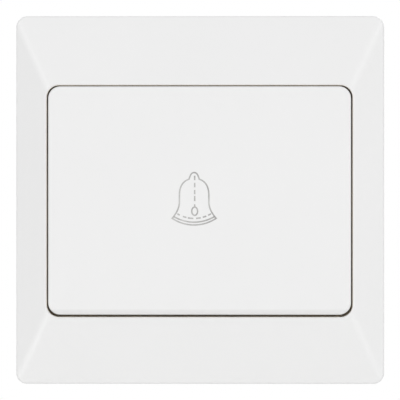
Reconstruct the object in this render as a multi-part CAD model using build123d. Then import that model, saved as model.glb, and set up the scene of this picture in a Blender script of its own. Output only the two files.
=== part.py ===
from build123d import *
import math
import os

# A wall doorbell switch: a wide push key, hinged at its top edge, sits in a square cover frame.
# Behind it a mounting plate carries a contact module with a plunger, a spring and two wire terminals.
# Every piece is modelled lying on its back, in mm: x to the right, y up the wall, z out of the wall.
# The last lines stand it up, so that the wall is the plane y = 0 and z is up.

# Clearances
run_gap = 0.3
seat_gap = 0.1
slide_clear = 0.08
screw_clear = 0.05

# Cover frame: a hipped picture frame that snaps over the mounting plate
frame_side = 86.0
frame_corner_r = 2.5
frame_wall = 2.0
frame_rise = 3.4
frame_edge_round = 0.5
hip_round = 5.0
opening_w = 71.4
opening_h = 54.03
opening_drop = 0.265
opening_corner_r = 2.8
opening_round = 0.4
lip_wall = 1.6
frame_rib_t = 1.0
frame_rib_pitch = 17.0
pry_notch_w = 8.0
pry_notch_h = 1.4

# Mounting plate: stands off the wall on its rim, with the standard pair of fixing slots
plate_fit = 0.5
plate_corner_r = 1.5
plate_t = 1.8
plate_stand_off = 1.2
plate_rim = 1.6
plate_rib_t = 1.2
plate_rib_x = 10.0
plate_rib_y = 14.0
slot_spacing = 60.3
slot_w = 4.5
slot_length = 7.0
slot_pad_margin = 2.6
boss_wall = 1.4
boss_h = 2.2

# Snap hooks on the cover frame and on the key
hook_w = 8.0
hook_t = 1.5
hook_barb = 0.9
hook_flex = 1.0
frame_hook_x = 24.0
key_hook_x = 27.0
key_hook_inset = 4.5

# Push key: a shallow tray with a rounded front edge, which rolls off where the thumb lands
key_gap = 0.32
key_gap_top = 0.2
swing_gap = 0.5
key_proud = 0.7
key_t = 2.0
key_round = 0.5
key_roll_len = 1.2
key_roll_depth = 0.33
key_rim = 1.2
key_rib_t = 1.0
key_rib_h = 1.2
key_rib_x = 12.0
key_rib_y = 12.0
key_stop_gap = 0.45
pusher_r = 2.0
pusher_chamfer = 0.6

# Hinge of the key: a pin on each lug turns in an ear of the mounting plate
press_angle = 2.5
hinge_inset = 4.05
hinge_x = 22.0
pin_r = 1.1
pin_overhang = 0.3
ear_wall = 1.05
ear_t = 2.0
lug_wall = 0.8
lug_t = 2.2

# Plunger and the module cover that guides it
plunger_r = 3.0
plunger_chamfer = 0.35
plunger_show = 0.4
sleeve_wall = 2.0
sleeve_h = 1.4
cover_t = 1.4
guide_rib_t = 1.2
guide_rib_h = 3.0
flange_l = 13.0
flange_w = 8.4
flange_t = 1.4
flange_corner_r = 1.0
neck_len = 2.6
cheek_l = 8.0
cheek_over = 0.4
spigot_r = 1.6
spigot_len = 3.3

# Contacts
contact_x = 9.0
bridge_w = 5.0
bridge_t = 0.6
bridge_end = 2.5
tip_r = 1.6
tip_h = 0.7
rivet_r = 0.8
strip_seat = 5.0
strip_t = 0.8

# Return spring
spring_len = 10.0
spring_turns = 6
spring_wire_r = 0.3
spring_wire_side_count = 8
spring_clear = 0.25
spring_seat_wall = 0.8

# Wire terminals
terminal_x = 14.5
terminal_y = -10.0
block_w = 8.0
block_l = 9.0
block_h = 8.0
block_corner_r = 0.6
bore_r = 1.8
bore_cover = 1.8
stake_r = 1.2
stake_inset = 2.0
stake_head = 0.3
terminal_screw_r = 1.7
terminal_head_r = 2.9
terminal_head_h = 1.8
terminal_open = 0.8
terminal_recess = 1.6

# Base of the module
base_wall = 1.6
base_floor = 1.6
base_corner_r = 2.0
base_chamfer = 0.7
base_flange_out = 1.2
base_flange_t = 2.0
side_rib_w = 1.2
side_rib_out = 0.7
side_rib_pitch = 8.0
barrier_w = 1.2
barrier_h = 1.5
pocket_rib = 1.7
well_clear = 0.5
well_wall = 1.2
wire_collar_len = 2.1
wire_window_margin = 0.8
post_side = 3.0

# Screws that clamp the base and its cover to the mounting plate
base_screw_r = 1.45
base_screw_len = 13.0
base_screw_tip_gap = 0.6
base_head_r = 2.7
base_head_h = 1.8
base_head_recess = 1.2
drive_slot_w = 0.9
drive_slot_depth = 0.9
head_chamfer = 0.5

# Heights above the wall, from the plate to the front of the key
plate_back = plate_stand_off
plate_front = plate_back + plate_t
ear_r = pin_r + slide_clear + ear_wall
lug_r = pin_r + lug_wall
hinge_z = plate_front + run_gap + lug_r
key_back = hinge_z + ear_r + run_gap
key_front = key_back + key_t
frame_front = key_front - key_proud
frame_edge = frame_front - frame_rise
opening_top = opening_h / 2 - opening_drop
opening_bottom = -opening_h / 2 - opening_drop
key_top = opening_top - key_gap_top
key_bottom = opening_bottom + swing_gap
key_y = (key_top + key_bottom) / 2
key_w = opening_w - 2 * key_gap
key_h = key_top - key_bottom
key_corner_r = opening_corner_r
hinge_y = key_top - hinge_inset
press = math.radians(press_angle)
key_rim_back = plate_front + press * (hinge_y - key_bottom) + key_stop_gap
plunger_travel = press * hinge_y

# Depths behind the wall, from the module cover to the back of the base
cover_back = plate_back - cover_t
sleeve_top = plate_front + sleeve_h
sleeve_r = plunger_r + slide_clear + sleeve_wall
plunger_top = sleeve_top + plunger_travel + plunger_show
flange_top = cover_back - seat_gap
bridge_top = flange_top - flange_t - neck_len
bridge_back = bridge_top - bridge_t
strip_front = bridge_back - 2 * tip_h - plunger_travel - slide_clear
strip_back = strip_front - strip_t
block_back = strip_back - block_h
wire_z = strip_back - bore_cover - bore_r
terminal_seat = block_back - terminal_open
base_back = terminal_seat - terminal_head_h - terminal_recess
floor_front = base_back + base_floor
spring_seat = bridge_back - spring_len
boss_top = plate_front + boss_h
base_screw_tip = boss_top - base_screw_tip_gap
base_screw_seat = base_screw_tip - base_screw_len
shelf_back = base_screw_seat - base_head_h - base_head_recess

# Outline of the base
well_r = terminal_head_r + well_clear
column_r = base_head_r + well_clear + well_wall
base_half_w = terminal_x + block_w / 2 + seat_gap + pocket_rib + base_wall
base_bottom = terminal_y - block_l / 2 - seat_gap - wire_collar_len - base_wall
spring_seat_r = spigot_r + spring_clear + 2 * spring_wire_r + spring_seat_wall
step_y = spring_seat_r + base_wall
base_screw_x = base_half_w - base_wall / 2 - column_r
base_screw_y = step_y + column_r
base_top = base_screw_y + column_r + base_wall / 2
base_mid = (base_top + base_bottom) / 2
base_h = base_top - base_bottom
plate_side = frame_side - 2 * (frame_wall + plate_fit)
frame_hook_y = (lip_wall - opening_bottom + frame_side / 2 - frame_wall) / 2
key_hook_y = key_bottom + key_hook_inset


def slab(outline, z0, z1):
    """An outline in the wall's plane, thickened from z0 to z1."""
    return extrude(Pos(0, 0, z0) * outline, amount=z1 - z0)


def bar(x0, x1, y0, y1, z0, z1):
    """A rectangular bar between six limits."""
    middle = Pos((x0 + x1) / 2, (y0 + y1) / 2)
    return slab(middle * Rectangle(x1 - x0, y1 - y0), z0, z1)


def post(radius, z0, z1, x=0.0, y=0.0):
    """A round post that stands out of the wall."""
    return slab(Pos(x, y) * Circle(radius), z0, z1)


def rod_x(radius, y, z, x0, x1):
    """A round rod along x."""
    return extrude(Plane(origin=(x0, y, z), z_dir=(1, 0, 0)) * Circle(radius), amount=x1 - x0)


def rod_y(radius, x, z, y0, y1):
    """A round rod along y."""
    return extrude(Plane(origin=(x, y0, z), z_dir=(0, 1, 0)) * Circle(radius), amount=y1 - y0)


def both_sides(piece):
    """A piece and its mirror image on the other side of the middle."""
    return piece + mirror(piece, about=Plane.YZ)


def tongue(radius, z_root, x0, x1):
    """A flat tongue with a round end about the hinge axis, rooted at z_root."""
    stem = Pos(hinge_y, (z_root + hinge_z) / 2) * Rectangle(2 * radius, abs(z_root - hinge_z))
    outline = stem + Pos(hinge_y, hinge_z) * Circle(radius)
    return extrude(Plane.YZ.offset(x0) * outline, amount=x1 - x0)


def snap_hook(x, y, facing, z_root):
    """A leg that passes the plate and catches behind it, its barb facing up (1) or down (-1)."""
    half = hook_t / 2
    catch = plate_back - seat_gap
    tip = seat_gap
    profile = Polyline(
        (-facing * half, z_root),
        (facing * half, z_root),
        (facing * half, catch),
        (facing * (half + hook_barb), catch),
        (facing * half, tip),
        (-facing * half, tip),
        close=True,
    )
    leg = extrude(Plane.YZ * make_face(profile), amount=hook_w / 2, both=True)
    return Pos(x, y, 0) * leg


def hook_window(x, y, facing):
    """The cut that lets a snap hook through the plate, with room for the leg to bend away."""
    near = y + facing * (hook_t / 2 + slide_clear)
    far = y - facing * (hook_t / 2 + hook_flex)
    half = hook_w / 2 + run_gap
    return bar(x - half, x + half, min(near, far), max(near, far), 0, plate_front)


def hipped_block(sink):
    """Four slopes from the edge line to the opening, sunk by a depth and run on past both lines."""
    front = frame_front - sink
    above = frame_rise / 2
    side_run = (frame_side - opening_w) / 2 / frame_rise
    top_run = (frame_side / 2 - opening_top) / frame_rise
    bottom_run = (frame_side / 2 + opening_bottom) / frame_rise
    low = opening_w / 2 + side_run * front
    high = opening_w / 2 - side_run * above
    across = Polyline((-low, 0), (low, 0), (high, front + above), (-high, front + above), close=True)
    along = Polyline(
        (opening_bottom - bottom_run * front, 0),
        (opening_top + top_run * front, 0),
        (opening_top - top_run * above, front + above),
        (opening_bottom + bottom_run * above, front + above),
        close=True,
    )
    block = extrude(Plane.XZ * make_face(across), amount=2 * frame_side, both=True)
    return block & extrude(Plane.YZ * make_face(along), amount=2 * frame_side, both=True)


def cover_frame():
    """Hipped frame: four slopes rise from the edge to the opening, over a hollow back."""
    summit = frame_front + frame_rise
    outer = RectangleRounded(frame_side, frame_side, frame_corner_r)
    opening = Pos(0, -opening_drop) * RectangleRounded(opening_w, opening_h, opening_corner_r)
    body = hipped_block(0)
    hips = body.edges().filter_by(Plane.XY, reverse=True)
    body = fillet(hips, min(hip_round, (frame_side - opening_w) / 2))
    body &= slab(outer, 0, summit)
    skirt = body.faces().filter_by_position(Axis.Z, 0, frame_edge)
    edge_line = skirt.edges().filter_by_position(Axis.Z, frame_edge - seat_gap, summit)
    body = fillet(edge_line, frame_edge_round)
    body -= slab(opening, 0, summit)
    opening_line = body.edges().filter_by_position(Axis.Z, frame_front - seat_gap, summit)
    body = fillet(opening_line, opening_round)

    inner_side = frame_side - 2 * frame_wall
    inner_r = max(frame_corner_r - frame_wall, seat_gap)
    hollow = hipped_block(frame_wall) & slab(
        RectangleRounded(inner_side, inner_side, inner_r), 0, frame_front
    )
    lip = Pos(0, -opening_drop) * RectangleRounded(
        opening_w + 2 * lip_wall, opening_h + 2 * lip_wall, opening_corner_r + lip_wall
    )
    rest = plate_front + run_gap
    hollow -= slab(lip, rest, summit)
    half_rib = frame_rib_t / 2
    reach = frame_side / 2
    for offset in (-frame_rib_pitch, 0, frame_rib_pitch):
        hollow -= bar(-reach, reach, offset - half_rib, offset + half_rib, rest, summit)
        hollow -= bar(offset - half_rib, offset + half_rib, -reach, reach, rest, summit)
    body -= hollow

    for facing in (1, -1):
        body += both_sides(snap_hook(frame_hook_x, facing * frame_hook_y, facing, frame_edge))
    notch_y = frame_side / 2
    body -= bar(-pry_notch_w / 2, pry_notch_w / 2, -notch_y, frame_wall - notch_y, 0, pry_notch_h)
    return body


def base_outline(inset, corner_r):
    """Outline of the base and its cover, drawn in by an inset."""
    return Pos(0, base_mid) * RectangleRounded(
        2 * (base_half_w - inset), base_h - 2 * inset, corner_r
    )


def mounting_plate():
    """Flat plate on a rim, with hinge ears, hook windows and the bosses for the base screws."""
    outline = RectangleRounded(plate_side, plate_side, plate_corner_r)
    inside = plate_side - 2 * plate_rim
    plate = slab(outline, 0, plate_front)
    plate -= slab(RectangleRounded(inside, inside, plate_corner_r), 0, plate_back)

    pad = Pos(slot_spacing / 2, 0) * RectangleRounded(
        slot_length + 2 * slot_pad_margin, slot_w + 2 * slot_pad_margin, slot_pad_margin
    )
    plate += both_sides(slab(pad, 0, plate_back))

    half_rib = plate_rib_t / 2
    reach = inside / 2
    upright = bar(plate_rib_x - half_rib, plate_rib_x + half_rib, -reach, reach, 0, plate_back)
    plate += both_sides(upright)
    for rib_y in (plate_rib_y, -plate_rib_y):
        plate += bar(-reach, reach, rib_y - half_rib, rib_y + half_rib, 0, plate_back)
    plate -= slab(base_outline(-base_flange_out - run_gap, base_corner_r), 0, plate_back)

    ear = tongue(ear_r, plate_front, hinge_x - ear_t / 2, hinge_x + ear_t / 2)
    ear -= rod_x(pin_r + slide_clear, hinge_y, hinge_z, hinge_x - ear_t, hinge_x + ear_t)
    plate += both_sides(ear)

    boss_r = base_screw_r + screw_clear + boss_wall
    boss = post(boss_r, plate_front, boss_top, base_screw_x, base_screw_y)
    plate += both_sides(boss)
    thread = post(
        base_screw_r + screw_clear, plate_back, base_screw_tip + seat_gap, base_screw_x, base_screw_y
    )
    plate -= both_sides(thread)

    plate -= post(sleeve_r + seat_gap, plate_back, plate_front)
    slot = Pos(slot_spacing / 2, 0) * SlotOverall(slot_length, slot_w)
    plate -= both_sides(slab(slot, 0, plate_front))
    for facing in (1, -1):
        plate -= both_sides(hook_window(frame_hook_x, facing * frame_hook_y, facing))
    plate -= both_sides(hook_window(key_hook_x, key_hook_y, -1))
    return plate


def roll_off():
    """What is taken off the front of the key along its bottom edge, so that the face curves in."""
    corner = (key_bottom, key_front)
    start = (key_bottom + key_roll_len, key_front)
    end = (key_bottom, key_front - key_roll_depth)
    profile = Line(corner, start) + TangentArc(start, end, tangent=(-1, 0)) + Line(end, corner)
    return extrude(Plane.YZ * make_face(profile), amount=key_w, both=True)


def push_key():
    """Tray with a rounded front edge, ribs, hinge lugs, a pusher and two retaining hooks."""
    outline = Pos(0, key_y) * RectangleRounded(key_w, key_h, key_corner_r)
    key = slab(outline, key_rim_back, key_front)
    key = fillet(key.edges().group_by(Axis.Z)[-1], key_round)
    key -= roll_off()
    inside_w = key_w - 2 * key_rim
    inside_low = key_bottom + key_rim
    inside_high = key_top - key_rim
    inside = Pos(0, key_y) * RectangleRounded(
        inside_w, inside_high - inside_low, key_corner_r - key_rim
    )
    key -= slab(inside, key_rim_back, key_back)

    half_rib = key_rib_t / 2
    rib_foot = key_back - key_rib_h
    upright = bar(
        key_rib_x - half_rib, key_rib_x + half_rib, inside_low, inside_high, rib_foot, key_back
    )
    key += both_sides(upright)
    for rib_y in (key_rib_y, -key_rib_y):
        key += bar(-inside_w / 2, inside_w / 2, rib_y - half_rib, rib_y + half_rib, rib_foot, key_back)

    pusher = post(pusher_r, plunger_top + seat_gap, key_back)
    key += chamfer(pusher.edges().group_by(Axis.Z)[0], pusher_chamfer)

    lug_x = hinge_x + ear_t / 2 + run_gap
    lug = tongue(lug_r, key_back, lug_x, lug_x + lug_t)
    pin = rod_x(pin_r, hinge_y, hinge_z, hinge_x - ear_t / 2 - pin_overhang, lug_x)
    pin = chamfer(pin.edges().group_by(Axis.X)[0], pin_overhang)
    key += both_sides(lug + pin)
    key += both_sides(snap_hook(key_hook_x, key_hook_y, -1, key_back))
    return key


def module_cover():
    """Lid of the base: guides the plunger and holds the contact strips down with two posts."""
    cover = slab(base_outline(-base_flange_out, base_corner_r), cover_back, plate_back)
    cover += post(sleeve_r, plate_back, sleeve_top)

    rib_y = flange_w / 2 + slide_clear
    guide = bar(
        -flange_l / 2, flange_l / 2, rib_y, rib_y + guide_rib_t, cover_back - guide_rib_h, cover_back
    )
    cover += guide + mirror(guide, about=Plane.XZ)

    post_x = terminal_x + block_w / 2 - post_side
    post_y = terminal_y - block_l / 2
    hold_down = bar(
        post_x, post_x + post_side, post_y, post_y + post_side, strip_front + seat_gap, cover_back
    )
    cover += both_sides(hold_down)

    cover -= post(plunger_r + slide_clear, cover_back, sleeve_top)
    screw_hole = post(
        base_screw_r + seat_gap, cover_back, plate_back, base_screw_x, base_screw_y
    )
    cover -= both_sides(screw_hole)
    return cover


def deep_outline(inset, corner_r):
    """Outline of the deep lower part of the base, drawn in by an inset."""
    middle = (step_y + base_bottom) / 2
    return Pos(0, middle) * RectangleRounded(
        2 * (base_half_w - inset), step_y - base_bottom - 2 * inset, corner_r
    )


def switch_base():
    """Stepped box behind the plate, with wells for the screws and seats for terminals and spring."""
    inner_r = max(base_corner_r - base_wall, seat_gap)
    shelf = slab(base_outline(0, base_corner_r), shelf_back, cover_back)
    shelf = chamfer(shelf.edges().group_by(Axis.Z)[0], base_chamfer)
    deep = slab(deep_outline(0, base_corner_r), base_back, cover_back)
    deep = chamfer(deep.edges().group_by(Axis.Z)[0], base_chamfer)
    flange = slab(
        base_outline(-base_flange_out, base_corner_r), cover_back - base_flange_t, cover_back
    )
    shell = shelf + deep + flange

    rib_out = base_half_w + side_rib_out
    for offset in (-side_rib_pitch, 0, side_rib_pitch):
        rib_y = (step_y + base_bottom) / 2 + offset
        side = bar(
            base_half_w - base_wall,
            rib_out,
            rib_y - side_rib_w / 2,
            rib_y + side_rib_w / 2,
            base_back + base_chamfer,
            cover_back,
        )
        shell += both_sides(side)
    shell += bar(
        -barrier_w / 2,
        barrier_w / 2,
        base_bottom + base_chamfer,
        step_y - base_chamfer,
        base_back - barrier_h,
        floor_front,
    )
    shell -= slab(base_outline(base_wall, inner_r), shelf_back + base_floor, cover_back)
    shell -= slab(deep_outline(base_wall, inner_r), floor_front, cover_back)

    column = post(column_r, shelf_back + base_chamfer, cover_back, base_screw_x, base_screw_y)
    well = post(well_r + well_wall, floor_front, block_back, terminal_x, terminal_y)
    seat_half = strip_seat / 2
    pillar = bar(
        contact_x - seat_half, contact_x + seat_half, -seat_half, seat_half, floor_front, strip_back
    )
    block_out = terminal_x + block_w / 2 + seat_gap
    block_in = terminal_x - block_w / 2 - seat_gap
    block_low = terminal_y - block_l / 2
    block_high = terminal_y + block_l / 2
    side_rib = bar(block_out, block_out + pocket_rib, block_low, block_high, floor_front, strip_back)
    inner_rib = bar(
        block_in - pocket_rib, block_in, base_bottom + base_wall, block_high, floor_front, strip_back
    )
    collar = bar(
        terminal_x - block_w / 2,
        terminal_x + block_w / 2,
        base_bottom + base_wall,
        block_low - seat_gap,
        block_back,
        strip_back,
    )
    shell += both_sides(column + well + pillar + side_rib + inner_rib + collar)

    shell += post(spring_seat_r, floor_front, spring_seat)
    shell += post(spigot_r, spring_seat, spring_seat + spigot_len)

    hole = bar(
        terminal_x - block_w / 2 + wire_window_margin,
        terminal_x + block_w / 2 - wire_window_margin,
        base_bottom,
        block_low,
        block_back + wire_window_margin,
        strip_back - wire_window_margin,
    )
    hole += post(well_r, base_back, block_back, terminal_x, terminal_y)
    hole += post(base_head_r + well_clear, shelf_back, base_screw_seat, base_screw_x, base_screw_y)
    hole += post(base_screw_r + seat_gap, base_screw_seat, cover_back, base_screw_x, base_screw_y)
    shell -= both_sides(hole)
    return shell


def plunger():
    """Moulded stem with a flange that stops it under the cover, and cheeks that hold the bridge."""
    stem = post(plunger_r, bridge_top, plunger_top)
    stem = chamfer(stem.edges().group_by(Axis.Z)[-1], plunger_chamfer)
    flange = RectangleRounded(flange_l, flange_w, flange_corner_r)
    stem += slab(flange, flange_top - flange_t, flange_top)
    cheek = bar(
        -cheek_l / 2,
        cheek_l / 2,
        bridge_w / 2 + seat_gap,
        flange_w / 2,
        bridge_back - cheek_over,
        flange_top - flange_t,
    )
    stem += cheek + mirror(cheek, about=Plane.XZ)
    stem += post(spigot_r, bridge_back - spigot_len, bridge_top)
    return stem


def contact_bridge():
    """Springy bronze strip that joins the two fixed contacts when the plunger is pushed."""
    outline = SlotOverall(2 * (contact_x + bridge_end), bridge_w)
    outline -= Circle(spigot_r + seat_gap)
    for x in (contact_x, -contact_x):
        outline -= Pos(x, 0) * Circle(rivet_r + screw_clear)
    return slab(outline, bridge_back, bridge_top)


def contact_rivet(x, head_from, head_to, shank_to):
    """Silver contact: a button head with a shank riveted through its strip."""
    low, high = sorted((head_from, head_to))
    button = post(tip_r, low, high, x)
    low, high = sorted((head_from, shank_to))
    return button + post(rivet_r, low, high, x)


def contact_strip():
    """Right-hand copper strip from its terminal block to the seat of the fixed contact."""
    half = strip_seat / 2
    left = terminal_x - block_w / 2
    right = terminal_x + block_w / 2
    low = terminal_y - block_l / 2
    high = terminal_y + block_l / 2
    outline = Polyline(
        (contact_x - half, half),
        (contact_x - half, -half),
        (left, high),
        (left, low),
        (right, low),
        (right, high),
        (contact_x + half, half),
        close=True,
    )
    strip = slab(make_face(outline), strip_back, strip_front)
    strip -= post(rivet_r + screw_clear, strip_back, strip_front, contact_x)
    strip -= post(stake_r + screw_clear, strip_back, strip_front, right - stake_inset, high - stake_inset)
    return strip


def terminal_block():
    """Right-hand brass block with a bore for the wire, a screw hole and a stake for the strip."""
    outline = Pos(terminal_x, terminal_y) * RectangleRounded(block_w, block_l, block_corner_r)
    block = slab(outline, block_back, strip_back)
    stake_x = terminal_x + block_w / 2 - stake_inset
    stake_y = terminal_y + block_l / 2 - stake_inset
    block += post(stake_r, strip_back, strip_front + stake_head, stake_x, stake_y)
    block -= rod_y(bore_r, terminal_x, wire_z, terminal_y - block_l / 2, terminal_y + block_l / 2)
    block -= post(terminal_screw_r + screw_clear, block_back, wire_z, terminal_x, terminal_y)
    return block


def screw(x, y, shank_r, head_r, head_h, seat, tip):
    """Round-headed screw, its head at the back, with a cross-shaped drive."""
    head = post(head_r, seat - head_h, seat, x, y)
    head = chamfer(head.edges().group_by(Axis.Z)[0], head_chamfer)
    arm = head_r - head_chamfer
    half = drive_slot_w / 2
    back = seat - head_h
    drive = bar(x - arm, x + arm, y - half, y + half, back, back + drive_slot_depth)
    drive += bar(x - half, x + half, y - arm, y + arm, back, back + drive_slot_depth)
    return head - drive + post(shank_r, seat, tip, x, y)


def return_spring():
    """Coil spring between the bridge and its seat in the base."""
    rise = spring_len - 2 * spring_wire_r - slide_clear
    coil = Helix(rise / spring_turns, rise, spigot_r + spring_clear + spring_wire_r)
    wire = Plane(origin=coil @ 0, z_dir=coil % 0) * RegularPolygon(spring_wire_r, spring_wire_side_count)
    return Pos(0, 0, spring_seat + spring_wire_r) * sweep(wire, path=coil)


pieces = {
    "cover_frame": cover_frame(),
    "mounting_plate": mounting_plate(),
    "push_key": push_key(),
    "module_cover": module_cover(),
    "switch_base": switch_base(),
    "plunger": plunger(),
    "contact_bridge": contact_bridge(),
    "return_spring": return_spring(),
}

# Pieces that come in pairs: the right-hand one is made and the left-hand one mirrors it
paired = {
    "contact_strip": contact_strip(),
    "terminal_block": terminal_block(),
    "fixed_contact": contact_rivet(contact_x, strip_front, strip_front + tip_h, strip_back),
    "moving_contact": contact_rivet(contact_x, bridge_back, bridge_back - tip_h, bridge_top),
    "terminal_screw": screw(
        terminal_x,
        terminal_y,
        terminal_screw_r,
        terminal_head_r,
        terminal_head_h,
        terminal_seat,
        wire_z - bore_r,
    ),
    "base_screw": screw(
        base_screw_x,
        base_screw_y,
        base_screw_r,
        base_head_r,
        base_head_h,
        base_screw_seat,
        base_screw_tip,
    ),
}
for name, right in paired.items():
    pieces[name + "_right"] = right
    pieces[name + "_left"] = mirror(right, about=Plane.YZ)

os.makedirs("parts", exist_ok=True)
for name, piece in pieces.items():
    export_step(Plane.XZ.location * piece, f"parts/{name}.step")
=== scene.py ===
import math

import bmesh
import bpy
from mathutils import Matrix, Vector


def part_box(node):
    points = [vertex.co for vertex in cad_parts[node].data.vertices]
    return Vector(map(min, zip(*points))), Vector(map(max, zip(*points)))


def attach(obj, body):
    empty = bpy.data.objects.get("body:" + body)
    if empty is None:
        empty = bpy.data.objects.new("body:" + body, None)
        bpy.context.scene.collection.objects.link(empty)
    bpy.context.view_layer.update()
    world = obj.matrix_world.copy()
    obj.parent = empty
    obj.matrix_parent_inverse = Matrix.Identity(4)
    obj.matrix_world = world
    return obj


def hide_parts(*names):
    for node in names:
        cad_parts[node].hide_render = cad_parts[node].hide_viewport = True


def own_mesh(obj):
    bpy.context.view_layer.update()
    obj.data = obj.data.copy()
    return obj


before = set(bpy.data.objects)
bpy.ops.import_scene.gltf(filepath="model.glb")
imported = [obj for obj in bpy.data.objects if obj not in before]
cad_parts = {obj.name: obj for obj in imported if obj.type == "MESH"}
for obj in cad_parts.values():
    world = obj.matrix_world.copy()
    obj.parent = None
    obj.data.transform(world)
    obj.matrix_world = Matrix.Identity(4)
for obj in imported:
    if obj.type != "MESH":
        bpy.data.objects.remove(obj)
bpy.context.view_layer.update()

# Switch base
# The stepped box behind the wall plate, injection moulded in light grey glass-filled nylon.
# Terminals, contact strips and spring drop into it, and two screws draw it up to the plate.
mm = 0.001


def linear(hex_colour):
    """An sRGB hex colour as linear RGBA."""
    channels = []
    for start in (1, 3, 5):
        value = int(hex_colour[start:start + 2], 16) / 255
        channels.append(value / 12.92 if value <= 0.04045 else ((value + 0.055) / 1.055) ** 2.4)
    return (*channels, 1.0)


def add(tree, kind, sockets, **settings):
    """Adds a node. Settings are its properties, sockets its inputs: a value, or a node and its output."""
    node = tree.nodes.new(kind)
    for name, value in settings.items():
        setattr(node, name, value)
    inputs = {socket.identifier: socket for socket in node.inputs}
    for name, value in sockets.items():
        if isinstance(value, tuple) and isinstance(value[0], bpy.types.Node):
            source, output = value
            outputs = {socket.identifier: socket for socket in source.outputs}
            tree.links.new(outputs[output], inputs[name])
        else:
            inputs[name].default_value = value
    return node


def blank(name):
    """A new material with an empty tree of nodes."""
    material = bpy.data.materials.new(name)
    material.use_nodes = True
    material.node_tree.nodes.clear()
    return material


def dress(material, *nodes):
    """Gives CAD nodes a finish in place of the plain one that they come with."""
    for name in nodes:
        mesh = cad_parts[name].data
        mesh.materials.clear()
        mesh.materials.append(material)


# Glass-filled nylon from a spark-eroded mould: satin grey, with broad pale swirls where the melt flowed
# and a fine pitted grain. The grain is about 0.1 mm and is drawn three times as coarse so that it shows.
flow_swirl = 7 * mm
spark_grain = 3 * 0.1 * mm
spark_pit = 0.02 * mm
moulded_edge = 0.15 * mm
moulded_nylon = blank("moulded_nylon")
tree = moulded_nylon.node_tree
place = add(tree, "ShaderNodeTexCoord", {})
flow = add(tree, "ShaderNodeTexNoise", {
    "Vector": (place, "Object"), "Scale": 1 / flow_swirl, "Detail": 4.0, "Distortion": 1.2,
})
grain = add(tree, "ShaderNodeTexNoise", {
    "Vector": (place, "Object"), "Scale": 1 / spark_grain, "Detail": 2.0,
})
swirl = add(tree, "ShaderNodeMapRange", {"Value": (flow, "Fac"), "From Min": 0.3, "From Max": 0.7})
tint = add(tree, "ShaderNodeMix", {
    "Factor_Float": (swirl, "Result"), "A_Color": linear("#B2B5B8"), "B_Color": linear("#BFC1C3"),
}, data_type="RGBA")
shine = add(tree, "ShaderNodeMapRange", {"Value": (grain, "Fac"), "To Min": 0.42, "To Max": 0.58})
edge = add(tree, "ShaderNodeBevel", {"Radius": moulded_edge}, samples=4)
pits = add(tree, "ShaderNodeBump", {
    "Height": (grain, "Fac"), "Distance": spark_pit, "Strength": 0.5, "Normal": (edge, "Normal"),
})
nylon = add(tree, "ShaderNodeBsdfPrincipled", {
    "Base Color": (tint, "Result_Color"), "Roughness": (shine, "Result"), "IOR": 1.53,
    "Normal": (pits, "Normal"),
})
add(tree, "ShaderNodeOutputMaterial", {"Surface": (nylon, "BSDF")})
dress(moulded_nylon, "switch_base")

sharp_from = math.radians(35)
mark_height = 0.08 * mm
mark_wall = 0.6 * mark_height
mark_sides = 32
base_mark_r = 1.3 * mm
marks_on_base = [(6, -14.5), (-6, -14.5), (6, -1.5), (-6, -1.5)]
# The flat of the back, from which the barrier between the terminals stands out
base_back = 20.36 * mm


def finished(name, mesh, material):
    """Shades a mesh smooth up to a sharp angle and puts it in the scene with its finish."""
    data = bpy.data.meshes.new(name)
    bmesh.ops.recalc_face_normals(mesh, faces=mesh.faces)
    mesh.to_mesh(data)
    mesh.free()
    data.shade_smooth()
    data.set_sharp_from_angle(angle=sharp_from)
    data.materials.append(material)
    piece = bpy.data.objects.new(name, data)
    bpy.context.scene.collection.objects.link(piece)
    return piece


def skin(mesh, rows, closed=False):
    """Joins rows of points, each a closed ring, by quads, with a cap at each end or end to end."""
    rings = [[mesh.verts.new(point) for point in row] for row in rows]
    count = len(rings[0])
    pairs = list(zip(rings, rings[1:]))
    if closed:
        pairs.append((rings[-1], rings[0]))
    else:
        mesh.faces.new(rings[0])
        mesh.faces.new(rings[-1])
    for near, far in pairs:
        for i in range(count):
            j = (i + 1) % count
            mesh.faces.new((near[i], near[j], far[j], far[i]))


def ejector_marks(name, places, radius, face, material):
    """Low round pads that the mould's ejector pins leave on a face towards the wall, at x, z in mm."""
    turn = [2 * math.pi * i / mark_sides for i in range(mark_sides)]
    profile = (
        (radius, face - mark_height),
        (radius, face + mark_wall),
        (radius - mark_height, face + mark_height),
    )
    mesh = bmesh.new()
    for x, z in places:
        skin(mesh, [
            [(x * mm + reach * math.cos(angle), y, z * mm + reach * math.sin(angle)) for angle in turn]
            for reach, y in profile
        ])
    marks = finished(name, mesh, material)
    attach(marks, "wall_unit")
    return marks


base_marks = ejector_marks("base_ejector_marks", marks_on_base, base_mark_r, base_back, moulded_nylon)

# Terminal blocks
# Two short lengths of drawn brass bar, cross-drilled for the wire and tapped for its screw.
# Each is staked to its contact strip and drops into a pocket of the base.

# Drawn brass: fine die lines along the bar and soft brown tarnish in patches. The die lines are
# about 0.05 mm apart and are drawn four times as coarse so that they show.
die_line = 4 * 0.05 * mm
die_line_length = 8 * mm
die_line_depth = 0.008 * mm
tarnish_patch = 2.5 * mm
sawn_edge = 0.15 * mm
drawn_brass = blank("drawn_brass")
tree = drawn_brass.node_tree
place = add(tree, "ShaderNodeTexCoord", {})
stretch = add(tree, "ShaderNodeMapping", {
    "Vector": (place, "Object"), "Scale": (1 / die_line, 1 / die_line, 1 / die_line_length),
})
lines = add(tree, "ShaderNodeTexNoise", {"Vector": (stretch, "Vector"), "Scale": 1.0, "Detail": 2.0})
patches = add(tree, "ShaderNodeTexNoise", {
    "Vector": (place, "Object"), "Scale": 1 / tarnish_patch, "Detail": 4.0,
})
tarnish = add(tree, "ShaderNodeMapRange", {"Value": (patches, "Fac"), "From Min": 0.5, "From Max": 0.75})
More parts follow.
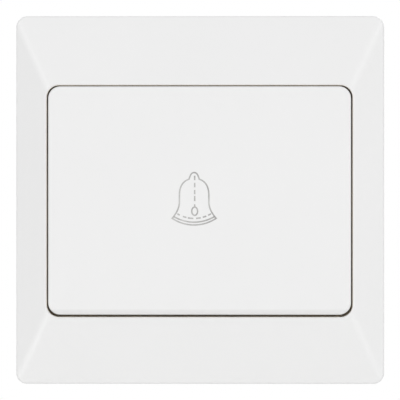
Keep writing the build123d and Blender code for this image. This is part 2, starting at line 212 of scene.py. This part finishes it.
tint = add(tree, "ShaderNodeMix", {
    "Factor_Float": (tarnish, "Result"), "A_Color": linear("#E3CB95"), "B_Color": linear("#BE9F66"),
}, data_type="RGBA")
shine = add(tree, "ShaderNodeMapRange", {"Value": (lines, "Fac"), "To Min": 0.22, "To Max": 0.42})
edge = add(tree, "ShaderNodeBevel", {"Radius": sawn_edge}, samples=4)
scores = add(tree, "ShaderNodeBump", {
    "Height": (lines, "Fac"), "Distance": die_line_depth, "Strength": 0.5, "Normal": (edge, "Normal"),
})
brass = add(tree, "ShaderNodeBsdfPrincipled", {
    "Base Color": (tint, "Result_Color"), "Metallic": 1.0, "Roughness": (shine, "Result"),
    "Normal": (scores, "Normal"),
})
add(tree, "ShaderNodeOutputMaterial", {"Surface": (brass, "BSDF")})
dress(drawn_brass, "terminal_block_left", "terminal_block_right")

# Terminal screws
# Two pan-head steel screws with rolled threads and a cross recess, zinc plated.
# They are backed out of the blocks, so that the wire bores are free.
terminal_shank_r = 1.7 * mm
terminal_pitch = 0.7 * mm
thread_depth_share = 0.6
flank_slope = 1.25
tip_taper = 0.2
screw_head_h = 1.8 * mm
dome_share = 0.55
recess_arm_share = 0.62
recess_half_share = 0.15
recess_depth = 1.1 * mm
recess_taper = 0.55
screw_sides = 40
rows_per_thread = 8
dome_rows = 7

# Zinc plate with a clear passivate: bright grey, with faint blue and straw tints in small patches
# and a slightly uneven shine from the plating bath.
tint_patch = 1.5 * mm
plating_haze = 0.4 * mm
rolled_edge = 0.08 * mm
zinc_plate = blank("zinc_plated_steel")
tree = zinc_plate.node_tree
place = add(tree, "ShaderNodeTexCoord", {})
bloom = add(tree, "ShaderNodeTexNoise", {
    "Vector": (place, "Object"), "Scale": 1 / tint_patch, "Detail": 3.0,
})
haze = add(tree, "ShaderNodeTexNoise", {
    "Vector": (place, "Object"), "Scale": 1 / plating_haze, "Detail": 3.0,
})
drift = add(tree, "ShaderNodeMapRange", {"Value": (bloom, "Fac"), "From Min": 0.35, "From Max": 0.65})
tint = add(tree, "ShaderNodeMix", {
    "Factor_Float": (drift, "Result"), "A_Color": linear("#CDD4DB"), "B_Color": linear("#DCD9CE"),
}, data_type="RGBA")
shine = add(tree, "ShaderNodeMapRange", {"Value": (haze, "Fac"), "To Min": 0.2, "To Max": 0.38})
edge = add(tree, "ShaderNodeBevel", {"Radius": rolled_edge}, samples=4)
zinc = add(tree, "ShaderNodeBsdfPrincipled", {
    "Base Color": (tint, "Result_Color"), "Metallic": 1.0, "Roughness": (shine, "Result"),
    "Normal": (edge, "Normal"),
})
add(tree, "ShaderNodeOutputMaterial", {"Surface": (zinc, "BSDF")})


def screw_body(low, high, shank_r, pitch):
    """The screw's outside: a threaded shank from its tip, and a pan head with a low dome."""
    middle = (low + high) / 2
    head_r = (high.x - low.x) / 2
    seat = high.y - screw_head_h
    root_r = shank_r - thread_depth_share * pitch
    turn = [2 * math.pi * i / screw_sides for i in range(screw_sides)]

    def ring(y, radii):
        return [
            (middle.x + radius * math.cos(angle), y, middle.z + radius * math.sin(angle))
            for radius, angle in zip(radii, turn)
        ]

    rows = []
    steps = round((seat - low.y) / pitch * rows_per_thread)
    for step in range(steps + 1):
        up = (seat - low.y) * step / steps
        run_in = min(1, up / pitch)
        run_out = min(1, (seat - low.y - up) / pitch)
        core = root_r * (1 - tip_taper + tip_taper * run_in)
        radii = []
        for angle in turn:
            phase = (up / pitch - angle / (2 * math.pi)) % 1
            crest = min(1, flank_slope * abs(2 * phase - 1))
            radii.append(core + (shank_r - root_r) * crest * min(run_in, run_out))
        rows.append(ring(low.y + up, radii))
    rows.append(ring(seat, [head_r] * screw_sides))
    dome_h = dome_share * screw_head_h
    for step in range(dome_rows):
        lean = math.pi / 2 * step / dome_rows
        y = high.y - dome_h * (1 - math.sin(lean))
        rows.append(ring(y, [head_r * math.cos(lean)] * screw_sides))
    mesh = bmesh.new()
    skin(mesh, rows)
    return mesh


def cross_recess(low, high):
    """The tapered cross that the driver fits, as a solid to be taken out of the head."""
    middle = (low + high) / 2
    head_r = (high.x - low.x) / 2
    arm = recess_arm_share * head_r
    half = recess_half_share * head_r
    cross = []
    for across, along in ((1, 0), (0, 1), (-1, 0), (0, -1)):
        for u, v in ((arm, -half), (arm, half), (half, half)):
            cross.append((u * across - v * along, u * along + v * across))
    rows = []
    for scale, y in ((1.0, high.y), (recess_taper, high.y - recess_depth)):
        rows.append([(middle.x + scale * u, y, middle.z + scale * v) for u, v in cross])
    mesh = bmesh.new()
    skin(mesh, rows)
    return mesh


def threaded_screw(node, shank_r, pitch):
    """A threaded pan-head screw with a cross recess, in the place of its CAD node."""
    low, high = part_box(node)
    body = finished(node + "_body", screw_body(low, high, shank_r, pitch), zinc_plate)
    recess = finished(node + "_recess", cross_recess(low, high), zinc_plate)
    cut = body.modifiers.new("recess", "BOOLEAN")
    cut.operation = "DIFFERENCE"
    cut.solver = "EXACT"
    cut.object = recess
    solid = bmesh.new()
    solid.from_object(body, bpy.context.evaluated_depsgraph_get())
    bpy.data.objects.remove(body)
    bpy.data.objects.remove(recess)
    screw = finished(node + "_threaded", solid, zinc_plate)
    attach(screw, "wall_unit")
    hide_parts(node)


threaded_screw("terminal_screw_left", terminal_shank_r, terminal_pitch)
threaded_screw("terminal_screw_right", terminal_shank_r, terminal_pitch)

# Contact strips
# Two strips blanked from half-hard copper sheet, from the terminals to the fixed contacts.
# They lie on the base and are held by the stake of the block and by posts of the cover.

# Rolled copper: straight roll marks and brown-pink oxide in soft patches. The roll marks are
# about 0.04 mm apart and are drawn five times as coarse so that they show.
roll_mark = 5 * 0.04 * mm
roll_mark_length = 12 * mm
roll_mark_depth = 0.006 * mm
oxide_patch = 3 * mm
rolled_copper = blank("rolled_copper")
tree = rolled_copper.node_tree
place = add(tree, "ShaderNodeTexCoord", {})
stretch = add(tree, "ShaderNodeMapping", {
    "Vector": (place, "Object"), "Scale": (1 / roll_mark, 1 / roll_mark, 1 / roll_mark_length),
})
marks = add(tree, "ShaderNodeTexNoise", {"Vector": (stretch, "Vector"), "Scale": 1.0, "Detail": 2.0})
patches = add(tree, "ShaderNodeTexNoise", {
    "Vector": (place, "Object"), "Scale": 1 / oxide_patch, "Detail": 4.0,
})
oxide = add(tree, "ShaderNodeMapRange", {"Value": (patches, "Fac"), "From Min": 0.45, "From Max": 0.75})
tint = add(tree, "ShaderNodeMix", {
    "Factor_Float": (oxide, "Result"), "A_Color": linear("#E4AF90"), "B_Color": linear("#B97F5E"),
}, data_type="RGBA")
shine = add(tree, "ShaderNodeMapRange", {"Value": (marks, "Fac"), "To Min": 0.25, "To Max": 0.42})
scores = add(tree, "ShaderNodeBump", {
    "Height": (marks, "Fac"), "Distance": roll_mark_depth, "Strength": 0.5,
})
copper = add(tree, "ShaderNodeBsdfPrincipled", {
    "Base Color": (tint, "Result_Color"), "Metallic": 1.0, "Roughness": (shine, "Result"),
    "Normal": (scores, "Normal"),
})
add(tree, "ShaderNodeOutputMaterial", {"Surface": (copper, "BSDF")})
dress(rolled_copper, "contact_strip_left", "contact_strip_right")

# Fixed and moving contacts
# Four cold-headed rivets of silver alloy, two in the strips and two in the bridge.
# Their button heads meet when the key is pushed.
contact_x = 9 * mm

# Headed silver: pale and soft in its shine, with faint rings from the heading die, 0.2 mm apart,
# and a little grey smoke. Wave rings repeat every pi / 10 of their coordinate, which gives the scale.
die_ring = 0.2 * mm
smoke_patch = 0.8 * mm
headed_silver = blank("headed_silver")
tree = headed_silver.node_tree
place = add(tree, "ShaderNodeTexCoord", {})
axes = add(tree, "ShaderNodeSeparateXYZ", {"Vector": (place, "Object")})
side = add(tree, "ShaderNodeMath", {"Value": (axes, "X")}, operation="ABSOLUTE")
from_axis = add(tree, "ShaderNodeMath", {
    "Value": (side, "Value"), "Value_001": contact_x,
}, operation="SUBTRACT")
centred = add(tree, "ShaderNodeCombineXYZ", {
    "X": (from_axis, "Value"), "Y": (axes, "Y"), "Z": (axes, "Z"),
})
rings = add(tree, "ShaderNodeTexWave", {
    "Vector": (centred, "Vector"), "Scale": math.pi / 10 / die_ring, "Distortion": 0.6,
}, wave_type="RINGS", rings_direction="Y")
smoke = add(tree, "ShaderNodeTexNoise", {
    "Vector": (place, "Object"), "Scale": 1 / smoke_patch, "Detail": 3.0,
})
tint = add(tree, "ShaderNodeMix", {
    "Factor_Float": (smoke, "Fac"), "A_Color": linear("#F1F0EC"), "B_Color": linear("#DEDAD0"),
}, data_type="RGBA")
shine = add(tree, "ShaderNodeMapRange", {"Value": (rings, "Fac"), "To Min": 0.22, "To Max": 0.34})
silver = add(tree, "ShaderNodeBsdfPrincipled", {
    "Base Color": (tint, "Result_Color"), "Metallic": 1.0, "Roughness": (shine, "Result"),
})
add(tree, "ShaderNodeOutputMaterial", {"Surface": (silver, "BSDF")})
dress(
    headed_silver,
    "fixed_contact_left", "fixed_contact_right", "moving_contact_left", "moving_contact_right",
)

# Return spring
# A compression spring coiled from round steel wire, its end turns closed up flat.
# It stands on a spigot of the base and pushes the contact bridge and the plunger back.
spring_turns = 6
closed_turns = 0.8
closed_spacing = 1.04
spring_wire_r = 0.3 * mm
wire_sides = 12
steps_per_turn = 28
spring_box_low, spring_box_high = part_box("return_spring")

# Drawn spring steel, oil tempered: grey with a thin bluish skin and die lines along the wire, given
# as fine mottling 0.25 mm across, which is coarser than the real lines so that it shows.
wire_mottle = 0.25 * mm
spring_steel = blank("oil_tempered_spring_steel")
tree = spring_steel.node_tree
place = add(tree, "ShaderNodeTexCoord", {})
mottle = add(tree, "ShaderNodeTexNoise", {
    "Vector": (place, "Object"), "Scale": 1 / wire_mottle, "Detail": 3.0,
})
tint = add(tree, "ShaderNodeMix", {
    "Factor_Float": (mottle, "Fac"), "A_Color": linear("#A9ABB0"), "B_Color": linear("#BDBBB6"),
}, data_type="RGBA")
shine = add(tree, "ShaderNodeMapRange", {"Value": (mottle, "Fac"), "To Min": 0.25, "To Max": 0.42})
steel = add(tree, "ShaderNodeBsdfPrincipled", {
    "Base Color": (tint, "Result_Color"), "Metallic": 1.0, "Roughness": (shine, "Result"),
})
add(tree, "ShaderNodeOutputMaterial", {"Surface": (steel, "BSDF")})


def coil_spring():
    """The spring at rest, from its seat in the base to the bridge, with end turns that nearly touch."""
    coil_r = (spring_box_high.x - spring_box_low.x) / 2 - spring_wire_r
    seat = spring_box_high.y - spring_wire_r
    rise = spring_box_high.y - spring_box_low.y - 2 * spring_wire_r
    closed_rise = closed_turns * 2 * spring_wire_r * closed_spacing
    open_turns = spring_turns - 2 * closed_turns
    open_rise = rise - 2 * closed_rise
    rows = []
    for step in range(spring_turns * steps_per_turn + 1):
        turns = step / steps_per_turn
        angle = 2 * math.pi * turns
        if turns < closed_turns:
            climb = closed_rise * turns / closed_turns
        elif turns > spring_turns - closed_turns:
            climb = rise - closed_rise * (spring_turns - turns) / closed_turns
        else:
            climb = closed_rise + open_rise * (turns - closed_turns) / open_turns
        row = []
        for side in range(wire_sides):
            around = 2 * math.pi * side / wire_sides
            reach = coil_r + spring_wire_r * math.cos(around)
            row.append((
                reach * math.cos(angle),
                seat - climb + spring_wire_r * math.sin(around),
                reach * math.sin(angle),
            ))
        rows.append(row)
    mesh = bmesh.new()
    skin(mesh, rows)
    return finished("coil_spring", mesh, spring_steel)


spring = coil_spring()
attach(spring, "wall_unit")
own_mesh(spring)
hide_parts("return_spring")

# Contact bridge
# A flat spring blanked from phosphor bronze strip, slipped over the spigot of the plunger.
# It carries the two moving contacts.

# Rolled phosphor bronze: warmer and darker than brass, with roll marks along the strip, drawn
# coarser than their real 0.04 mm so that they show, and little tarnish.
bronze_mark_depth = 0.005 * mm
phosphor_bronze = blank("phosphor_bronze")
tree = phosphor_bronze.node_tree
place = add(tree, "ShaderNodeTexCoord", {})
stretch = add(tree, "ShaderNodeMapping", {
    "Vector": (place, "Object"), "Scale": (1 / roll_mark_length, 1 / roll_mark, 1 / roll_mark),
})
marks = add(tree, "ShaderNodeTexNoise", {"Vector": (stretch, "Vector"), "Scale": 1.0, "Detail": 2.0})
tint = add(tree, "ShaderNodeMix", {
    "Factor_Float": (marks, "Fac"), "A_Color": linear("#DDB68E"), "B_Color": linear("#CCA078"),
}, data_type="RGBA")
shine = add(tree, "ShaderNodeMapRange", {"Value": (marks, "Fac"), "To Min": 0.22, "To Max": 0.4})
scores = add(tree, "ShaderNodeBump", {
    "Height": (marks, "Fac"), "Distance": bronze_mark_depth, "Strength": 0.5,
})
bronze = add(tree, "ShaderNodeBsdfPrincipled", {
    "Base Color": (tint, "Result_Color"), "Metallic": 1.0, "Roughness": (shine, "Result"),
    "Normal": (scores, "Normal"),
})
add(tree, "ShaderNodeOutputMaterial", {"Surface": (bronze, "BSDF")})
dress(phosphor_bronze, "contact_bridge")

# Plunger
# A slippery moulded stem of natural acetal, with a flange that stops it under the cover.
# It slides in the sleeve of the module cover and takes the push of the key to the bridge.

# Acetal: milky, warm white and waxy, with broad cloudy patches and a soft shine.
acetal_cloud = 4 * mm
natural_acetal = blank("natural_acetal")
tree = natural_acetal.node_tree
place = add(tree, "ShaderNodeTexCoord", {})
cloud = add(tree, "ShaderNodeTexNoise", {
    "Vector": (place, "Object"), "Scale": 1 / acetal_cloud, "Detail": 3.0,
})
tint = add(tree, "ShaderNodeMix", {
    "Factor_Float": (cloud, "Fac"), "A_Color": linear("#EFECE5"), "B_Color": linear("#E7E2D7"),
}, data_type="RGBA")
shine = add(tree, "ShaderNodeMapRange", {"Value": (cloud, "Fac"), "To Min": 0.32, "To Max": 0.44})
edge = add(tree, "ShaderNodeBevel", {"Radius": moulded_edge}, samples=4)
acetal = add(tree, "ShaderNodeBsdfPrincipled", {
    "Base Color": (tint, "Result_Color"), "Roughness": (shine, "Result"), "IOR": 1.48,
    "Normal": (edge, "Normal"),
})
add(tree, "ShaderNodeOutputMaterial", {"Surface": (acetal, "BSDF")})
dress(natural_acetal, "plunger")

# Module cover
# The lid of the base, moulded in the same grey nylon, with a sleeve that guides the plunger.
# Two posts on it hold the contact strips down.
dress(moulded_nylon, "module_cover")

# Mounting plate
# The flat carrier that is screwed to the wall box, moulded in white polycarbonate.
# It carries the key on two hinge ears, the frame by its hooks, and the contact module.

# Polycarbonate from a grained mould: matt, slightly greyer than the gloss parts, with a fine
# spark grain. The grain is about 0.1 mm and is drawn three times as coarse so that it shows.
# A warm tan is painted where other parts cover it closely: painted shade, which warms the gaps round the
# key.
plate_flow = 14 * mm
plate_pit = 0.015 * mm
covered_within = 12 * mm
grained_polycarbonate = blank("grained_polycarbonate")
tree = grained_polycarbonate.node_tree
place = add(tree, "ShaderNodeTexCoord", {})
flow = add(tree, "ShaderNodeTexNoise", {
    "Vector": (place, "Object"), "Scale": 1 / plate_flow, "Detail": 3.0,
})
grain = add(tree, "ShaderNodeTexNoise", {
    "Vector": (place, "Object"), "Scale": 1 / spark_grain, "Detail": 2.0,
})
tint = add(tree, "ShaderNodeMix", {
    "Factor_Float": (flow, "Fac"), "A_Color": linear("#E5E5E3"), "B_Color": linear("#ECECEB"),
}, data_type="RGBA")
shine = add(tree, "ShaderNodeMapRange", {"Value": (grain, "Fac"), "To Min": 0.46, "To Max": 0.62})
edge = add(tree, "ShaderNodeBevel", {"Radius": moulded_edge}, samples=4)
pits = add(tree, "ShaderNodeBump", {
    "Height": (grain, "Fac"), "Distance": plate_pit, "Strength": 0.4, "Normal": (edge, "Normal"),
})
# Painted shade: the tan is mixed in where other parts shade the plate closely.
open_air = add(tree, "ShaderNodeAmbientOcclusion", {"Distance": covered_within}, samples=8)
gap_shade = add(tree, "ShaderNodeMapRange", {"Value": (open_air, "AO"), "From Min": 0.22, "From Max": 0.08})
gap_shaded = add(tree, "ShaderNodeMix", {
    "Factor_Float": (gap_shade, "Result"), "A_Color": (tint, "Result_Color"), "B_Color": linear("#F4DCB6"),
}, data_type="RGBA")
polycarbonate = add(tree, "ShaderNodeBsdfPrincipled", {
    "Base Color": (gap_shaded, "Result_Color"), "Roughness": (shine, "Result"), "IOR": 1.585,
    "Normal": (pits, "Normal"),
})
add(tree, "ShaderNodeOutputMaterial", {"Surface": (polycarbonate, "BSDF")})
dress(grained_polycarbonate, "mounting_plate")
plate_mark_r = 1.6 * mm
marks_on_plate = [
    (0, 33), (0, -33),
    (35, 31), (-35, 31), (35, -31), (-35, -31),
    (17, 25), (-17, 25), (17, -27), (-17, -27),
]
# The panel's back is set in from the rim that lies on the wall
plate_back = -1.2 * mm
plate_marks = ejector_marks(
    "plate_ejector_marks", marks_on_plate, plate_mark_r, plate_back, grained_polycarbonate,
)

# Base screws
# Two more zinc-plated pan-head steel screws, with the coarser thread that holds in plastic.
# They clamp the base and its cover to the bosses of the mounting plate.
base_shank_r = 1.45 * mm
base_pitch = 1.1 * mm
threaded_screw("base_screw_left", base_shank_r, base_pitch)
threaded_screw("base_screw_right", base_shank_r, base_pitch)

# Cover frame
# The hipped frame that clips over the plate by four hooks and leaves the opening for the key.
# It is moulded in white polycarbonate from a polished mould.

# Gloss polycarbonate: a clean, faintly warm white with a calm shine. Broad, very shallow waves from
# shrinking and a light film of handling keep the reflections from being perfect. Deep in the gaps
# the white is painted faintly brown: painted shade that warms the dark gap lines.
colour_drift = 25 * mm
shrink_wave = 6 * mm
shrink_depth = 0.01 * mm
handling_film = 9 * mm
gap_depth = 2 * mm
polished_edge = 0.12 * mm
gloss_polycarbonate = blank("gloss_polycarbonate")
tree = gloss_polycarbonate.node_tree
place = add(tree, "ShaderNodeTexCoord", {})
flow = add(tree, "ShaderNodeTexNoise", {
    "Vector": (place, "Object"), "Scale": 1 / colour_drift, "Detail": 2.0,
})
waves = add(tree, "ShaderNodeTexNoise", {
    "Vector": (place, "Object"), "Scale": 1 / shrink_wave, "Detail": 1.0,
})
film = add(tree, "ShaderNodeTexNoise", {
    "Vector": (place, "Object"), "Scale": 1 / handling_film, "Detail": 5.0,
})
tint = add(tree, "ShaderNodeMix", {
    "Factor_Float": (flow, "Fac"), "A_Color": linear("#ECECEC"), "B_Color": linear("#EEEEEE"),
}, data_type="RGBA")
shine = add(tree, "ShaderNodeMapRange", {"Value": (film, "Fac"), "To Min": 0.3, "To Max": 0.42})
edge = add(tree, "ShaderNodeBevel", {"Radius": polished_edge}, samples=4)
swell = add(tree, "ShaderNodeBump", {
    "Height": (waves, "Fac"), "Distance": shrink_depth, "Strength": 0.5, "Normal": (edge, "Normal"),
})
# Painted shade: a faint brown is mixed in deep in the gaps, where little light reaches.
open_air = add(tree, "ShaderNodeAmbientOcclusion", {"Distance": gap_depth}, samples=8)
gap_shade = add(tree, "ShaderNodeMapRange", {"Value": (open_air, "AO"), "From Min": 0.6, "From Max": 0.1})
gap_shaded = add(tree, "ShaderNodeMix", {
    "Factor_Float": (gap_shade, "Result"), "A_Color": (tint, "Result_Color"), "B_Color": linear("#F3EADC"),
}, data_type="RGBA")
gloss = add(tree, "ShaderNodeBsdfPrincipled", {
    "Base Color": (gap_shaded, "Result_Color"), "Roughness": (shine, "Result"), "IOR": 1.585,
    "Normal": (swell, "Normal"),
})
add(tree, "ShaderNodeOutputMaterial", {"Surface": (gloss, "BSDF")})
dress(gloss_polycarbonate, "cover_frame")

# Push key
# The wide key in the frame's opening, moulded in the same white polycarbonate.
# It turns on pins near its top, and its bottom edge rolls off where fingers push it.
roll_off = 1.2 * mm
roll_fade = 0.15 * mm
roll_shade_share = 0.93
roll_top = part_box("push_key")[0].z + roll_off

# Gloss polycarbonate again, with a narrow band along the roll-off painted a shade greyer than the rest:
# painted shade that deepens the shading of the shallow roll-off.
key_polycarbonate = gloss_polycarbonate.copy()
key_polycarbonate.name = "gloss_polycarbonate_roll_shade"
tree = key_polycarbonate.node_tree
# The copy's own nodes, which keep the names of the frame's
place, gap_shaded, gloss = (tree.nodes[node.name] for node in (place, gap_shaded, gloss))
# Painted shade: below the top of the roll-off the key's colour is made a shade greyer.
axes = add(tree, "ShaderNodeSeparateXYZ", {"Vector": (place, "Object")})
roll_shade = add(tree, "ShaderNodeMapRange", {
    "Value": (axes, "Z"), "From Min": roll_top + roll_fade, "From Max": roll_top - roll_fade,
    "To Min": 1.0, "To Max": roll_shade_share,
})
roll_shaded = add(tree, "ShaderNodeHueSaturation", {
    "Value": (roll_shade, "Result"), "Color": (gap_shaded, "Result_Color"),
})
tree.links.new(roll_shaded.outputs["Color"], gloss.inputs["Base Color"])
dress(key_polycarbonate, "push_key")

# Bell sign
# A generic bell, pad printed on the key in thin lines of grey ink.
# The ink is a film on the surface, a hundredth of a millimetre high, and moves with the key.
sign_x = -1.24 * mm
ink_width = 0.34 * mm
ink_height = 0.012 * mm
ink_root = 0.02 * mm
mitre_limit = 0.5
key_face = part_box("push_key")[0].y

# Pad-printing ink: flat mid grey and matt, with thin, paler places where the pad took less of it.
ink_patch = 2.2 * mm
printing_ink = blank("pad_printing_ink")
tree = printing_ink.node_tree
place = add(tree, "ShaderNodeTexCoord", {})
cover = add(tree, "ShaderNodeTexNoise", {
    "Vector": (place, "Object"), "Scale": 1 / ink_patch, "Detail": 3.0,
})
thin = add(tree, "ShaderNodeMapRange", {"Value": (cover, "Fac"), "From Min": 0.35, "From Max": 0.65})
tint = add(tree, "ShaderNodeMix", {
    "Factor_Float": (thin, "Result"), "A_Color": linear("#A4A3A2"), "B_Color": linear("#C6C5C4"),
}, data_type="RGBA")
shine = add(tree, "ShaderNodeMapRange", {"Value": (cover, "Fac"), "To Min": 0.5, "To Max": 0.65})
ink = add(tree, "ShaderNodeBsdfPrincipled", {
    "Base Color": (tint, "Result_Color"), "Roughness": (shine, "Result"), "IOR": 1.5,
})
add(tree, "ShaderNodeOutputMaterial", {"Surface": (ink, "BSDF")})


def curve(start, pull_start, pull_end, end, steps=14):
    """Points along a smooth bend from start up to, but not including, its end."""
    points = []
    for step in range(steps):
        t = step / steps
        s = 1 - t
        weights = (s ** 3, 3 * s * s * t, 3 * s * t * t, t ** 3)
        points.append(sum(
            (weight * Vector(point) for weight, point in zip(weights, (start, pull_start, pull_end, end))),
            Vector((0, 0)),
        ))
    return points


def sag(half_width, bottom, radius, start, end, steps=14):
    """Points on an arc with its lowest point at bottom, between two shares of its half width."""
    points = []
    for step in range(steps + 1):
        x = half_width * (start + (end - start) * step / steps)
        points.append(Vector((x, bottom + radius - math.sqrt(radius * radius - x * x))))
    return points


def line(mesh, points, closed=False):
    """Adds a printed line along points, given in mm from the middle of the sign and the plate."""
    count = len(points)
    rows = []
    for i, point in enumerate(points):
        back = points[i - 1] if i or closed else point
        ahead = points[(i + 1) % count] if i + 1 < count or closed else point
        into = (point - back).normalized() if point != back else (ahead - point).normalized()
        out = (ahead - point).normalized() if ahead != point else into
        across = Vector((-(into + out).y, (into + out).x)).normalized()
        mitre = ink_width / 2 / max(mitre_limit, across.dot(Vector((-out.y, out.x))))
        row = []
        for side, y in ((1, -ink_height), (-1, -ink_height), (-1, ink_root), (1, ink_root)):
            x, z = point * mm + side * mitre * across
            row.append((sign_x + x, key_face + y, z))
        rows.append(row)
    skin(mesh, rows, closed)


sign = bmesh.new()
knob_top = (0, 6.41)
knob_foot = (1.2, 4.85)
wall_top = (3.43, 1.3)
wall_foot = (3.45, -0.7)
rim_corner = (5.15, -4.27)
rim_bottom = -5.83
rim_radius = 9.3
right = (
    curve(knob_top, (0.75, 6.41), (0.95, 5.6), knob_foot)
    + curve(knob_foot, (2.5, 4.45), (3.4, 3.3), wall_top)
    + [Vector(wall_top)]
    + curve(wall_foot, (3.55, -2.0), (4.1, -3.1), rim_corner)
)
left = [Vector((-point.x, point.y)) for point in reversed(right[1:])]
line(sign, right + sag(rim_corner[0], rim_bottom, rim_radius, 1, -1, steps=40) + left, closed=True)

inner_rim_half = 4.75
inner_rim_bottom = -5.18
line(sign, sag(inner_rim_half, inner_rim_bottom, rim_radius, -1, 1, steps=36))

dash_half = 3.94
dash_bottom = -4.31
dash_radius = 7.6
dashes = ((-3.93, -3.36), (-2.63, -1.79), (-1.48, -0.18), (0.45, 1.54), (2.01, 2.85), (3.27, 3.94))
for start, end in dashes:
    line(sign, sag(dash_half, dash_bottom, dash_radius, start / dash_half, end / dash_half, steps=4))

clapper_x = 0.13
stem_dashes = ((5.68, 4.63), (4.01, 2.96), (2.34, 1.35), (0.98, -0.27), (-1.0, -1.5))
for high, low in stem_dashes:
    line(sign, [Vector((clapper_x, high)), Vector((clapper_x, low))])
clapper_z = -2.62
clapper_half_w = 0.68
clapper_half_h = 0.97
clapper_steps = 28
clapper = []
for step in range(clapper_steps):
    angle = 2 * math.pi * step / clapper_steps
    clapper.append(Vector((
        clapper_x + clapper_half_w * math.cos(angle), clapper_z + clapper_half_h * math.sin(angle),
    )))
line(sign, clapper, closed=True)
bell_sign = finished("bell_sign", sign, printing_ink)
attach(bell_sign, "key")

# Floor
# A round, pale studio floor of matt card, well below the plate, which hangs as it does on a wall.
# It takes the part's shadow and fades to white towards its rim.
floor_z = -100 * mm
floor_r = 200 * mm
fade_from = 80 * mm
fade_to = 190 * mm
floor_sides = 96
pale_floor = blank("pale_studio_floor")
tree = pale_floor.node_tree
place = add(tree, "ShaderNodeTexCoord", {})
reach = add(tree, "ShaderNodeVectorMath", {"Vector": (place, "Object")}, operation="LENGTH")
fade = add(tree, "ShaderNodeMapRange", {
    "Value": (reach, "Value"), "From Min": fade_from, "From Max": fade_to,
}, interpolation_type="SMOOTHSTEP")
path = add(tree, "ShaderNodeLightPath", {})
seen = add(tree, "ShaderNodeMath", {
    "Value": (path, "Is Camera Ray"), "Value_001": (path, "Is Glossy Ray"),
}, operation="MAXIMUM")
white = add(tree, "ShaderNodeMath", {
    "Value": (fade, "Result"), "Value_001": (seen, "Value"),
}, operation="MULTIPLY")
matt = add(tree, "ShaderNodeBsdfDiffuse", {"Color": linear("#F2F2F1")})
glow = add(tree, "ShaderNodeEmission", {"Color": linear("#FFFFFF"), "Strength": 1.0})
mixed = add(tree, "ShaderNodeMixShader", {
    "Fac": (white, "Value"), "Shader": (matt, "BSDF"), "Shader_001": (glow, "Emission"),
})
add(tree, "ShaderNodeOutputMaterial", {"Surface": (mixed, "Shader")})
disc = bmesh.new()
bmesh.ops.create_circle(disc, cap_ends=True, segments=floor_sides, radius=floor_r)
floor = finished("floor", disc, pale_floor)
floor.location = (0, 0, floor_z)

# World
# A white light tent round the part: soft light from everywhere, strongest from the right in front.
# The camera and reflections see plain white.
brightest_from = Vector((0.42, -0.865, 0.275))
tent_low = 0.225
tent_high = 0.915
world = bpy.data.worlds.new("light_tent")
bpy.context.scene.world = world
world.use_nodes = True
tree = world.node_tree
tree.nodes.clear()
direction = add(tree, "ShaderNodeTexCoord", {})
facing = add(tree, "ShaderNodeVectorMath", {
    "Vector": (direction, "Generated"), "Vector_001": brightest_from,
}, operation="DOT_PRODUCT")
level = add(tree, "ShaderNodeMapRange", {
    "Value": (facing, "Value"), "From Min": -1.0, "From Max": 1.0, "To Min": tent_low, "To Max": tent_high,
})
tent = add(tree, "ShaderNodeBackground", {"Color": linear("#FFFFFF"), "Strength": (level, "Result")})
backdrop = add(tree, "ShaderNodeBackground", {"Color": linear("#FFFFFF"), "Strength": 1.0})
path = add(tree, "ShaderNodeLightPath", {})
mirrored = add(tree, "ShaderNodeMath", {
    "Value": (path, "Is Glossy Ray"), "Value_001": (path, "Is Transmission Ray"),
}, operation="MAXIMUM")
seen = add(tree, "ShaderNodeMath", {
    "Value": (path, "Is Camera Ray"), "Value_001": (mirrored, "Value"),
}, operation="MAXIMUM")
mixed = add(tree, "ShaderNodeMixShader", {
    "Fac": (seen, "Value"), "Shader": (tent, "Background"), "Shader_001": (backdrop, "Background"),
})
add(tree, "ShaderNodeOutputWorld", {"Surface": (mixed, "Shader")})

# Lamps
# Four weak softboxes in front, high and low at both sides, which put the pale bands on the frame's
# hips, and two more behind the part, which light its back. Places and sides are in metres.
for name, spot, width, height, watts in (
    ("high_right_softbox", (0.9, -1.8, 0.35), 0.4, 0.6, 2.3),
    ("low_right_softbox", (0.9, -1.8, -0.35), 0.4, 0.6, 1.4),
    ("high_left_softbox", (-0.9, -1.8, 0.35), 0.4, 0.6, 2.8),
    ("low_left_softbox", (-0.9, -1.8, -0.35), 0.4, 0.6, 3.9),
    ("rear_right_softbox", (0.9, 1.5, 1.0), 1.0, 1.0, 9),
    ("rear_left_softbox", (-0.9, 1.5, 0.7), 1.0, 1.0, 7),
):
    lamp = bpy.data.lights.new(name, "AREA")
    lamp.shape = "RECTANGLE"
    lamp.size = width
    lamp.size_y = height
    lamp.energy = watts
    softbox = bpy.data.objects.new(name, lamp)
    softbox.location = spot
    softbox.rotation_euler = (-Vector(spot)).to_track_quat("-Z", "Y").to_euler()
    bpy.context.scene.collection.objects.link(softbox)

# Camera
# In front of the plate and a little to the right, as the photograph shows it, and far enough back
# to look flat. It is turned to the middle of the plate's outer rim.
camera_distance = 2500 * mm
camera_side = 80 * mm
rim_front = -5.6 * mm
field = 93.5 * mm
lens = bpy.data.cameras.new("camera")
lens.lens = lens.sensor_width * camera_distance / field
camera = bpy.data.objects.new("camera", lens)
camera.location = (camera_side, rim_front - camera_distance, 0)
camera.rotation_euler = (math.pi / 2, 0, math.atan2(camera_side, camera_distance))
bpy.context.scene.collection.objects.link(camera)
bpy.context.scene.camera = camera
bpy.context.scene.view_settings.view_transform = "Standard"
